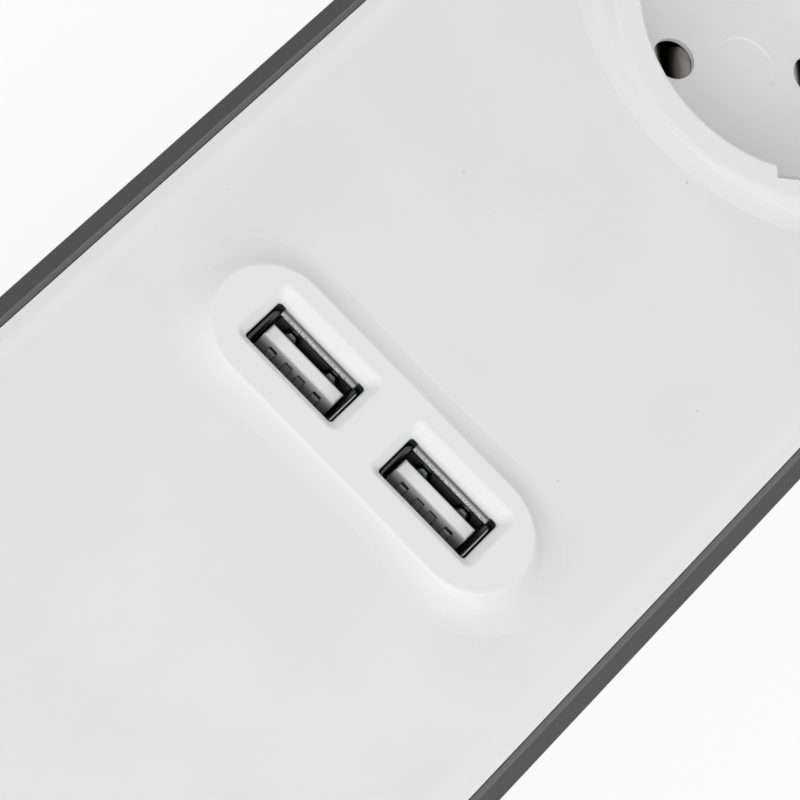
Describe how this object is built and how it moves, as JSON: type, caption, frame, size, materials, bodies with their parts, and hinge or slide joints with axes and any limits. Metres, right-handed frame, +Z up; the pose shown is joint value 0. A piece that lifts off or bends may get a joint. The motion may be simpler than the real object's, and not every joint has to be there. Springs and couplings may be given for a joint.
{
  "type": "surge protector power strip",
  "caption": "Long mains strip with a crowned white cover on a flared grey tray, round sockets turned on the diagonal, a raised USB charging pad and a rocker switch.",
  "frame": {"origin": "middle of the strip on the surface that its feet stand on", "axes": "+X along the strip from the USB end to the switch and cord end, +Z up, +Y across"},
  "size_m": [0.4108, 0.0836, 0.0475],
  "materials": {
    "cover_white": "satin moulded white plastic",
    "tray_grey": "finely grained dark grey plastic",
    "switch_grey": "satin dark grey plastic",
    "rocker_grey": "smooth dark grey plastic",
    "lens_green": "clear green plastic",
    "rubber_black": "soft black rubber",
    "shell_steel": "plated sheet steel with sheared edges",
    "tongue_white": "white nylon",
    "contact_plated": "nickel-plated spring strip",
    "contact_tinned": "stamped brass strip, tinned",
    "clip_plated": "nickel-plated spring strip",
    "board_green": "glass-filled board with solder mask",
    "ferrite_dark": "ferrite core and taped winding",
    "can_black": "sleeved metal can",
    "varistor_blue": "dipped epoxy coat",
    "fuse_tan": "ceramic body",
    "screw_steel": "zinc-plated steel",
    "wire_copper": "bare copper wire"
  },
  "bodies": {
    "housing": {"base_tray": "tray_grey", "board_screws": "screw_steel", "cord_gland": "rubber_black", "earth_bar": "contact_tinned", "earth_clip_1": "clip_plated", "earth_clip_2": "clip_plated", "earth_clip_3": "clip_plated", "earth_clip_4": "clip_plated", "housing_screws": "screw_steel", "indicator_lamp": "lens_green", "indicator_lens": "lens_green", "live_busbar": "contact_tinned", "neutral_busbar": "contact_tinned", "rubber_foot_1": "rubber_black", "rubber_foot_2": "rubber_black", "rubber_foot_3": "rubber_black", "rubber_foot_4": "rubber_black", "surge_board": "board_green", "switch_housing": "switch_grey", "switch_terminals": "contact_tinned", "thermal_fuse": "fuse_tan", "top_cover": "cover_white", "usb_board": "board_green", "usb_capacitors": "can_black", "usb_contacts_1": "contact_plated", "usb_contacts_2": "contact_plated", "usb_link_wires": "wire_copper", "usb_shell_1": "shell_steel", "usb_shell_2": "shell_steel", "usb_tongue_1": "tongue_white", "usb_tongue_2": "tongue_white", "usb_transformer": "ferrite_dark", "varistor_1": "varistor_blue", "varistor_2": "varistor_blue", "varistor_3": "varistor_blue"},
    "rocker": {"switch_rocker": "rocker_grey"}
  },
  "joints": [
    {"name": "rocker_hinge", "type": "hinge", "parent": "housing", "child": "rocker", "pos_m": [0.17165, 0, 0.0394], "axis": [0, 1, 0], "range_deg": [0, 22]}
  ]
}
